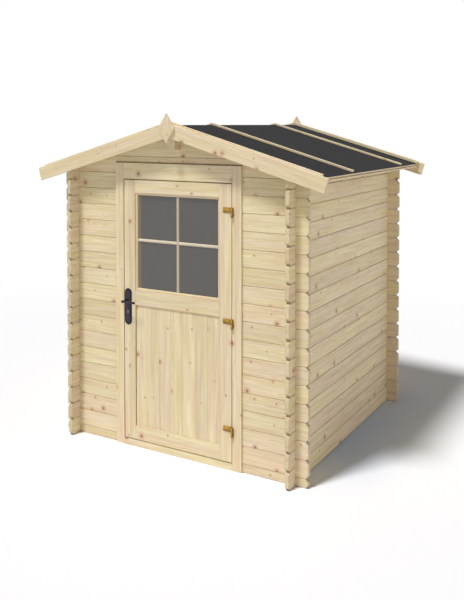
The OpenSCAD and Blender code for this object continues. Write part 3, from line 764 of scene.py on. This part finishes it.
def makeBattens():
    seams = [(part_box("felt_" + near)[1].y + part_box("felt_" + far)[0].y) / 2
             for near, far in (("front", "middle"), ("middle", "back"))]
    half = roof["battenWide"] / 2
    rows = ((seams, roof["seamThick"], roofEnd - roof["seamStop"]),
            ((roofY[0] + half, roofY[1] - half), roof["vergeThick"], roofEnd))
    u = np.arange(roof["nailEnds"][0], roofEnd - roof["nailEnds"][1], roof["nailGap"])
    for side, label in sides:
        tubes = [(slopePlanks(side, places, roof["battenLow"], thick, end, roof["battenWide"],
                              roof["battenEase"]), 0) for places, thick, end in rows]
        nails = [slopePoint(side, u, roof["battenLow"] + thick, y)
                 for places, thick, end in rows for y in places]
        tubes.append((nailHeads(np.concatenate(nails), slopeWays(side)[2]), 1))
        makePiece("roofBattens_" + label, tubes, [boardPine, galvanised], "shed",
                  ["roof_battens_" + label])


def makeEavesLaths():
    # One on the ends of the boards and one under them
    u = np.array([(boardsEnd + seat + roofEnd) / 2, roofEnd - roof["lathWide"]])
    w = np.array([roof["boardThick"], -seat]) - roof["lathThick"] / 2
    wide = np.array([roofEnd - boardsEnd - seat, 2 * roof["lathWide"]])
    for side, label in sides:
        down, _, up = slopeWays(side)
        tube = planks(slopePoint(side, u, w, roofY[0]), (0, 1, 0), down, up, roofY[1] - roofY[0],
                      wide, roof["lathThick"], roof["lathEase"])
        makePiece("eavesLaths_" + label, [(tube, 0)], [boardPine], "shed", ["eaves_laths_" + label])


def makeBargeBoards():
    # On edge against the ends of the roof, plumb cut where two of them meet
    inFrom, rows = roof["bargeNails"]
    u, w = (v.ravel() for v in np.meshgrid(np.linspace(inFrom, bargeEnd - inFrom, 4), rows))
    for outward, where in gables:
        for side, label in sides:
            place = where + "_" + label
            low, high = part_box("barge_" + place)
            tube = slopePlanks(side, (low.y + high.y) / 2, roof["bargeLow"], roof["bargeWide"], bargeEnd,
                               high.y - low.y, roof["ease"])
            face = low.y if outward < 0 else high.y
            nails = nailHeads(slopePoint(side, u, w, face), (0, outward, 0))
            makePiece("bargeBoard_" + place, [(tube, 0), (nails, 1)], [boardPine, galvanised], "shed",
                      ["barge_" + place])


def makeFinials():
    # Rhombus with its points nipped off; its faces draw in at the edges like a sawn board's
    tips = np.array([(1, 0), (0, 1), (-1, 0), (0, -1), (1, 0)])
    share = np.array([0.015, 0.06, 0.5, 0.94, 0.985])[:, None, None]
    outline = ((1 - share) * tips[:-1] + share * tips[1:]).transpose(1, 0, 2).reshape(-1, 2)
    inset, gone = roundedEnd(*(np.array([v]) for v in roof["finialEase"]))
    inset = np.concatenate([inset, inset[::-1]])[:, None]
    for outward, where in gables:
        low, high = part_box("finial_" + where)
        halfX, halfZ, midZ = high.x, (high.z - low.z) / 2, (high.z + low.z) / 2
        nearY = low.y + (roof["nailRoom"] if outward < 0 else 0)
        farY = high.y - (roof["nailRoom"] if outward > 0 else 0)
        depth = np.concatenate([nearY + gone, farY - gone[::-1]])[:, None]
        slant = math.hypot(halfX, halfZ)
        x = outline[:, 0] * (halfX - inset * slant / halfZ)
        z = outline[:, 1] * (halfZ - inset * slant / halfX)
        tube = plainTube(xyz(x, depth, z + midZ)[None], xyz(z, x, depth)[None])
        face = nearY if outward < 0 else farY
        nails = nailHeads([(0, face, midZ + roof["finialNail"] * s) for s in (1, -1)], (0, outward, 0))
        makePiece("finial_" + where + "_rhombus", [(tube, 0), (nails, 1)], [boardPine, galvanised],
                  "shed", ["finial_" + where])


makeRoofBoards()
makeBattens()
makeEavesLaths()
makeBargeBoards()
makeFinials()
print("roof boards, battens, barge boards and finials built")

# Door leaf: the panel of boards, the beads that hold the glass and the bars over it
leaf = {
    "panelPitch": 0.096,
    "panelJoint": 0.0003,
    "panelEase": 0.0016,
    "panelRebate": 0.004,          # width and depth of the shadow gap beside the stiles
    "barWide": 0.020,
    "barDeep": 0.008,
    "barEnd": 0.001,
    "barLift": 0.010,              # the level bar sits this much above the middle
    "barShift": 0.005,             # and the upright one this much to the right
    "barLap": 0.4,                 # of its width, where the level bar stops beside it
}
glassLow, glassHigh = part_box("door_glass")
glassFaces = ((glassLow.y - seat, -1), (glassHigh.y + seat, 1))


def makePanel():
    low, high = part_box("door_panel")
    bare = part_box("lock_stile")[1].x + leaf["panelRebate"]
    inner = leaf["panelPitch"] * (np.arange(-3, 3) + 0.5)
    edges = np.concatenate([[low.x, bare], inner, [-bare, high.x]])
    back = np.zeros(len(edges) - 1)
    back[[0, -1]] = leaf["panelRebate"]
    starts = xyz((edges[1:] + edges[:-1]) / 2, (low.y + high.y + back) / 2, low.z)
    tube = planks(starts, (0, 0, 1), (1, 0, 0), (0, 1, 0), high.z - low.z,
                  np.diff(edges) - leaf["panelJoint"], high.y - low.y - back, leaf["panelEase"])
    makePiece("doorPanelBoards", [(tube, 0)], [boardPine], "door", ["door_panel"])


def makeBeads():
    # Bead with a round of 5 mm on its inner arris, carried round the opening and mitred: the round is
    # 0.010 + 0.005 cos a inwards and 0.008 + 0.005 sin a high
    a = np.linspace(0, math.pi / 2, 6)
    curve = np.stack([0.010 + 0.005 * np.cos(a), 0.008 + 0.005 * np.sin(a)], -1)
    outline = np.concatenate([[(0, 0), (0.0145, 0), (0.015, 0.0005), (0.015, 0.005)], curve,
                              [(0.0095, 0.0140), (0.0075, 0.014), (0.0008, 0.014), (0, 0.0132)]])
    low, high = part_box("glazing_beads")
    corner = np.array([(low.x, low.z), (high.x, low.z), (high.x, high.z), (low.x, high.z)])
    inward = np.array([(1, 1), (-1, 1), (-1, -1), (1, -1)])
    x, z = (corner[:, None] + inward[:, None] * outline[:, :1]).transpose(2, 0, 1)
    tubes = []
    for face, out in glassFaces:
        ring = xyz(x, face + out * outline[:, 1], z)
        rings = np.stack([ring, np.roll(ring, -1, 0)], 1)
        long = np.linalg.norm(rings - rings[:, :1], axis=-1)
        tubes.append((plainTube(rings, xyz(long, outline[:, 0], outline[:, 1])), 0))
    makePiece("mitredGlazingBeads", tubes, [boardPine], "door", ["glazing_beads"], 30)


def halfRound(start, along, across, out, length):
    # Bar with a half-round face: point = start + along s + across w cos a + out d sin^0.8 a, for a from
    # 0 to 180 degrees, where w is half the bar's width and d its depth
    a = np.radians([0, 12, 30, 50, 70, 90, 110, 130, 150, 168, 180])
    outline = np.stack([leaf["barWide"] / 2 * np.cos(a), leaf["barDeep"] * np.sin(a) ** 0.8], -1)
    outline = np.concatenate([outline, [(-0.3 * leaf["barWide"], 0), (0.3 * leaf["barWide"], 0)]])
    s = np.array([0, leaf["barEnd"], length - leaf["barEnd"], length])[:, None]
    start, along, across, out = (np.asarray(v, float) for v in (start, along, across, out))
    rings = start + s[..., None] * along + outline[:, :1] * across + outline[:, 1:] * out
    return plainTube(rings[None], xyz(s, outline[:, 0], outline[:, 1])[None])


def makeBars():
    low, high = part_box("glazing_bars")
    midX, midZ = leaf["barShift"], (low.z + high.z) / 2 + leaf["barLift"]
    lap = leaf["barLap"] * leaf["barWide"]
    tubes = []
    for y, out in glassFaces:
        upright = halfRound((midX, y, low.z), (0, 0, 1), (-out, 0, 0), (0, out, 0), high.z - low.z)
        tubes.append((upright, 1))
        for x, far in ((low.x, midX - lap), (midX + lap, high.x)):
            tubes.append((halfRound((x, y, midZ), (1, 0, 0), (0, 0, out), (0, out, 0), far - x), 0))
    makePiece("glazingBarCross", tubes, [barPinePaintedHighlight, uprightBarPaintedShade], "door", ["glazing_bars"])


makePanel()
makeBeads()
makeBars()
print("door panel, beads and bars built")

handle = {
    "plateThick": 0.004,
    "rise": ((0, 0), (0, 0.0014), (0.0006, 0.0022), (0.0022, 0.0030), (0.005, 0.0036),
             (0.009, 0.0040), (0.014, 0.0042), (0.018, 0.0042)),
    "innerHalf": 0.017,            # half the width of the plate inside, which has to pass the stop
    "screwEnd": 0.016,
    "screwR": 0.0036,
    "leverRoom": 0.0003,           # between plate and lever
    "roseR": 0.011,
    "neckR": 0.0085,
    "neckLong": 0.058,
    "neckShape": ((1.1, 0.006), (0.98, 0.008), (0.88, 0.016), (0.82, 0.032), (0.86, 0.046)),
    "gripHigh": 0.026,
    "gripDeep": 0.015,
    "gripBend": 0.003,             # how much nearer the door its tip lies
    "gripWaist": 0.50,             # how much slimmer the grip is between its knobs
    "knobLong": 0.020,
    "gripPast": 0.003,
    "tipPaintedShadeReach": 0.4,                 # share of the way from a tip that counts as way from a rim, for the painted shade
}
plateLow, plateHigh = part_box("handle_plates")
leverLow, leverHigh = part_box("lever_handles")
lockLow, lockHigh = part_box("lock_cylinder")
spindleX = (lockLow.x + lockHigh.x) / 2
spindleZ = (leverLow.z + leverHigh.z) / 2
leafFaces = tuple((corner.y, out) for corner, out in zip(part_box("lock_stile"), (-1, 1)))


def screwHeads(centres, axis, radius, proud=0.0009):
    # Domed heads with a round socket sunk in the middle
    dome = [(radius, -0.001), (radius, 0.2 * proud), (0.8 * radius, 0.8 * proud), (0.55 * radius, proud),
            (0.42 * radius, proud), (0.36 * radius, -0.4 * proud), (0.1 * radius, -0.5 * proud)]
    return turned(centres, axis, dome, around=16)


def paintedRimShadeTube(rings, fromEdge):
    # Ironwork, whose grain says how far a point lies from the rim or tip, which gets painted shade
    return plainTube(rings[None], xyz(fromEdge + 0 * rings[..., 0], 0, 0)[None])


def makePlates():
    # Stadium outline of width w and height t, drawn in by d at height h: x = r cos a, z = r sin a with
    # the two half circles t / 2 - r apart, and r = w / 2 - d
    drawIn, rise = np.array(handle["rise"]).T[..., None]
    middleZ, tall = (plateLow.z + plateHigh.z) / 2, plateHigh.z - plateLow.z
    inner = 2 * min(spindleX - plateLow.x, handle["innerHalf"])
    a = np.concatenate([np.linspace(0, math.pi, 20), np.linspace(math.pi, 2 * math.pi, 20)])
    tubes = []
    for (face, out), wide in zip(leafFaces, (plateHigh.x - plateLow.x, inner)):
        face = face + out * seat
        r = wide / 2 - drawIn
        shift = np.repeat([1, -1], 20) * (tall - wide) / 2
        rings = xyz(spindleX + r * np.cos(a), face + out * rise, middleZ + shift + r * np.sin(a))
        tubes.append((paintedRimShadeTube(rings, drawIn), 0))
        screws = [(spindleX, face + out * handle["plateThick"], middleZ + s * (tall / 2 - handle["screwEnd"]))
                  for s in (-1, 1)]
        tubes.append((screwHeads(screws, (0, out, 0), handle["screwR"]), 0))
    makePiece("domedHandlePlates", tubes, [iron], "door", ["handle_plates"])


def makeLevers():
    # Grip: ellipses along x, half axes a f and b f; f = sqrt(1 - q q) in the last a of each end, where
    # q runs from 0 to 1, times 1 - waist w, where w rises smoothly to 1 over the length of a knob
    a, b = handle["gripHigh"] / 2, handle["gripDeep"] / 2
    left, right = spindleX - a, leverHigh.x + handle["gripPast"]
    way = (1 - np.cos(np.linspace(0, math.pi, 33))) / 2
    x = left + (right - left) * way
    tip = np.minimum(x - left, right - x)
    q = np.clip((np.abs(x - (left + right) / 2) - ((right - left) / 2 - a)) / a, 0, 0.995)
    waist = np.clip(tip / handle["knobLong"], 0, 1)
    f = (np.sqrt(1 - q ** 2) * (1 - handle["gripWaist"] * waist ** 2 * (3 - 2 * waist)))[:, None]
    turn = np.linspace(0, 2 * math.pi, 24, endpoint=False)
    rose, neck, long = handle["roseR"], handle["neckR"], handle["neckLong"]
    profile = [(rose, 0), (rose, 0.003), (0.92 * rose, 0.0048),
               *((share * neck, h) for share, h in handle["neckShape"]), (0.8 * neck, long - 0.002)]
    tubes = []
    for face, out in leafFaces:
        face = face + out * (handle["plateThick"] + handle["leverRoom"])
        gripY = (face + out * long - out * handle["gripBend"] * way ** 2)[:, None]
        rings = xyz(x[:, None], gripY + b * f * np.cos(turn), spindleZ + a * f * np.sin(turn))
        tubes.append((paintedRimShadeTube(rings, handle["tipPaintedShadeReach"] * tip[:, None]), 0))
        tubes.append((turned((spindleX, face, spindleZ), (0, out, 0), profile, 28), 0))
    outer, inner = (face for face, out in leafFaces)
    reach = handle["plateThick"] + 0.0013
    spindle = [(0.005, 0), (0.005, inner - outer + 2 * reach)]
    tubes.append((turned((spindleX, outer - reach, spindleZ), (0, 1, 0), spindle), 0))
    makePiece("leverHandles", tubes, [iron], "lever", ["lever_handles"])


lock = {
    "barrelR": 0.0056,
    "webR": 0.0034,
    "webLow": -0.015,              # middle of the web's half circle, from the middle of the barrel
    "barrelDrop": 0.0085,          # from the top of the box
    "rim": ((0, 0.0008), (0.0003, 0.0002), (0.001, 0)),      # depth, and how far it draws in there
    "plug": ((0.0046, -0.001), (0.0046, 0.0), (0.0042, 0.00025), (0.001, 0.00027)),
    "keywayPaintedShade": (0.00135, 0.0018, 0.0070, 0.0004, 0.0001),       # length, width, height and its two rounds
}


def makeLock():
    # Round barrel over a narrow web that ends in a half circle: x = r cos a, z = r sin a, drawn in at
    # its rims
    over = np.radians(np.linspace(-53, 233, 24))
    under = np.radians(np.linspace(180, 360, 12))
    depth, drawIn = np.array(lock["rim"]).T[..., None]
    y = np.concatenate([lockLow.y + depth, lockHigh.y - depth[::-1]])
    barrel, web = (lock[key] - np.concatenate([drawIn, drawIn[::-1]]) for key in ("barrelR", "webR"))
    barrelZ = lockHigh.z - lock["barrelDrop"]
    x = np.concatenate([barrel * np.cos(over), web * np.cos(under)], 1)
    z = np.concatenate([barrel * np.sin(over), lock["webLow"] + web * np.sin(under)], 1)
    rings = xyz(spindleX + x, y, barrelZ + z)[None]
    tubes = [(plainTube(rings, rings), 0)]
    for y, out in ((lockLow.y, -1), (lockHigh.y, 1)):
        tubes.append((turned((spindleX, y, barrelZ), (0, out, 0), lock["plug"], 28), 0))
        # painted shade: a dark iron sliver on the plug's face stands for the shadowed keyway
        keywayPaintedShade = planks((spindleX, y - out * 0.001, barrelZ - 0.0005), (0, out, 0), (1, 0, 0), (0, 0, 1),
                      *lock["keywayPaintedShade"])
        tubes.append((keywayPaintedShade, 1))
    makePiece("lockCylinderAndKeyway", tubes, [nickel, iron], "door", ["lock_cylinder"])


makePlates()
makeLevers()
makeLock()
print("handles and lock built")

hinge = {
    "armLong": 0.062,
    "armWide": 0.033,
    "armThick": 0.004,
    "armEase": (0.004, 0.0008),
    "crank": 0.017,
    "crankEase": (0.0015, 0.0008),
    "crankDeep": 0.0038,           # how far before the leaf the crank begins
    "middleTop": 0.925,            # above the foot of the leaf
    "barrelR": 0.008,
    "barrelStout": 1.08,
    "barrelHigh": 0.031,
    "barrelEnd": ((0.82, 0), (0.95, 0.0004), (1, 0.0012), (1, 0.004), (0.96, 0.0044), (1, 0.0048)),
    "boreR": 0.0033,
    "pinR": 0.003,
    "shankR": 0.004,
    "shankOff": 0.005,             # its middle lies this far beyond the pin
    "screws": ((-0.049, -0.010), (-0.031, -0.023), (-0.015, -0.010)),     # from the leaf's edge, and its top
    "screwR": 0.0038,
}


def makeHinges():
    # Each hinge: plate and crank with the upper barrel on the leaf, lower barrel with a shank on the jamb
    armLow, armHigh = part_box("hinge_arms")
    stileLow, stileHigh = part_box("hinge_stile")
    axisX, axisY = armHigh.x - hinge["barrelR"], armLow.y + hinge["barrelR"]
    edge, back = stileHigh.x, stileLow.y - seat
    high, thick = hinge["barrelHigh"], hinge["armThick"]
    lowest = armLow.z + hinge["armWide"]
    tops = np.array([lowest, stileLow.z + hinge["middleTop"], armHigh.z])
    radii, heights = (np.array(hinge["barrelEnd"]) * (hinge["barrelR"] * hinge["barrelStout"], 1)).T
    barrel = np.stack([np.append(radii, radii[::-1]), np.append(heights, high - heights[::-1])], -1)
    box = (0, -1, 0), (1, 0, 0), (0, 0, 1)
    arms = planks(xyz(edge - hinge["armLong"] / 2, back, tops - hinge["armWide"] / 2), *box, thick,
                  hinge["armLong"], hinge["armWide"], *hinge["armEase"])
    cranks = planks(xyz(axisX - hinge["crank"] / 2, back - hinge["crankDeep"], tops - high / 2), *box, thick,
                    hinge["crank"], high, *hinge["crankEase"])
    bored = [(hinge["boreR"], high - 0.002), (hinge["boreR"], 0.0), *barrel]
    upper = turned(xyz(axisX, axisY, tops - high), (0, 0, 1), bored, 28)
    across, down = np.tile(hinge["screws"], (3, 1)).T
    screws = screwHeads(xyz(edge + across, back - thick, np.repeat(tops, 3) + down), (0, -1, 0),
                        hinge["screwR"])
    makePiece("hingeArmsAndKnuckles", [(arms, 0), (cranks, 0), (upper, 0), (screws, 0)], [zinc], "door",
              ["hinge_arms"])
    lower = turned(xyz(axisX, axisY, tops - 2 * high - seat), (0, 0, 1), barrel, 28)
    shank = [(hinge["shankR"], 0), (hinge["shankR"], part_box("hinge_pins")[1].y - axisY)]
    shanks = turned(xyz(axisX + hinge["shankOff"], axisY, tops - 1.5 * high), (0, 1, 0), shank, 20)
    pin = turned(xyz(axisX, axisY, tops - 2 * high), (0, 0, 1),
                 [(hinge["pinR"], 0.002), (hinge["pinR"], 2 * high - 0.004)], 20)
    makePiece("hingePinsAndShanks", [(lower, 0), (shanks, 0), (pin, 0)], [zinc], "shed", ["hinge_pins"])


makeHinges()
print("hinges built")
